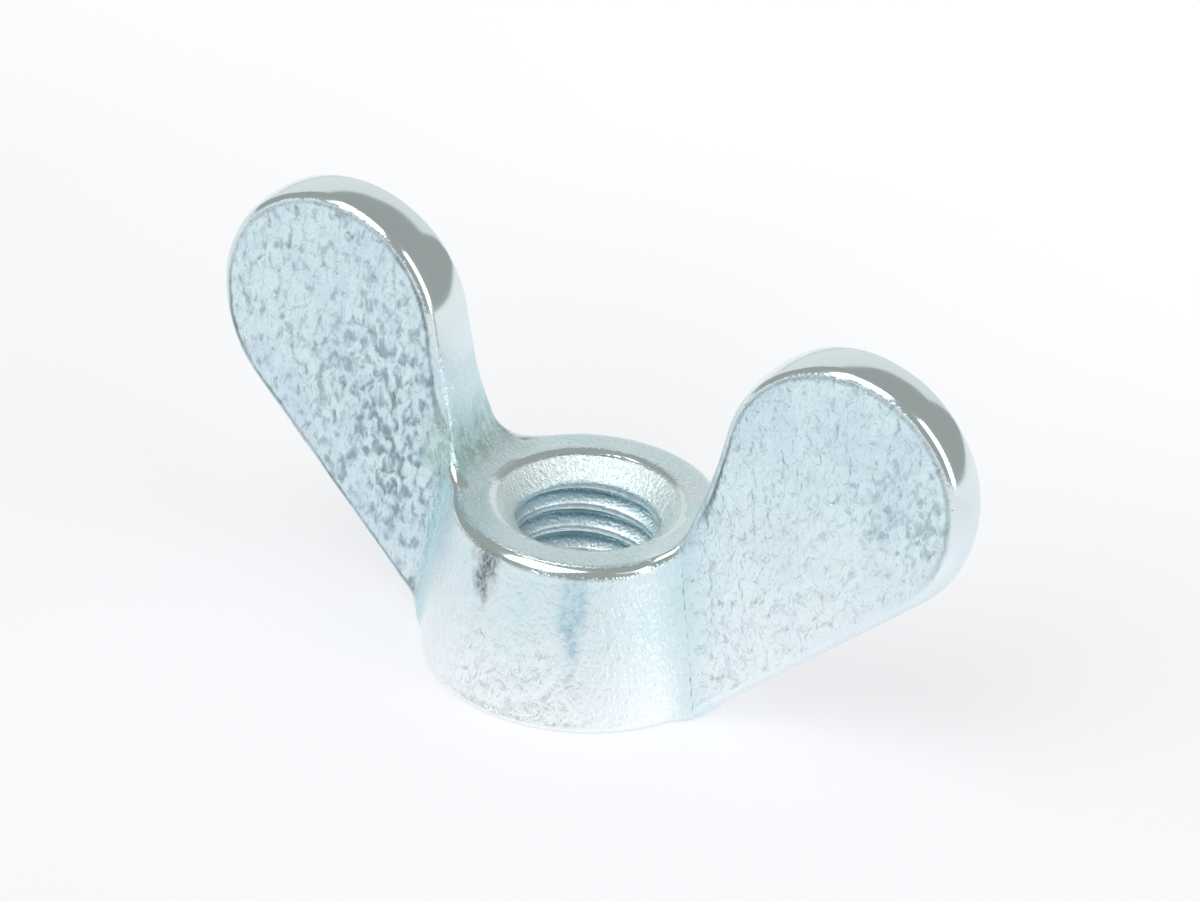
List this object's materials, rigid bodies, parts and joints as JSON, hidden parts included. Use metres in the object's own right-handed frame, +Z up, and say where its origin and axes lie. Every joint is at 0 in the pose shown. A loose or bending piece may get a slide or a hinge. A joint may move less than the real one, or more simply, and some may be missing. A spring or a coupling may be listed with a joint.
{
  "type": "wing nut",
  "caption": "Threaded nut with a tapered round hub and two upright rounded wings, turned by finger and thumb on a metric bolt.",
  "frame": {"origin": "centre of the seat, the flat face under the hub, on the axis of the thread", "axes": "+Z up the thread away from the work, +X along the wings, +Y across their faces"},
  "size_m": [0.04, 0.0152, 0.0204],
  "materials": {
    "zinc_hub": "steel forging, zinc plated and blue passivated, satin with a fine pebbled grain",
    "zinc_wings": "steel forging, zinc plated and blue passivated, pebbled faces and smooth glossy rims"
  },
  "bodies": {
    "root": {"hub": "zinc_hub", "wing_left": "zinc_wings", "wing_right": "zinc_wings"}
  },
  "joints": []
}
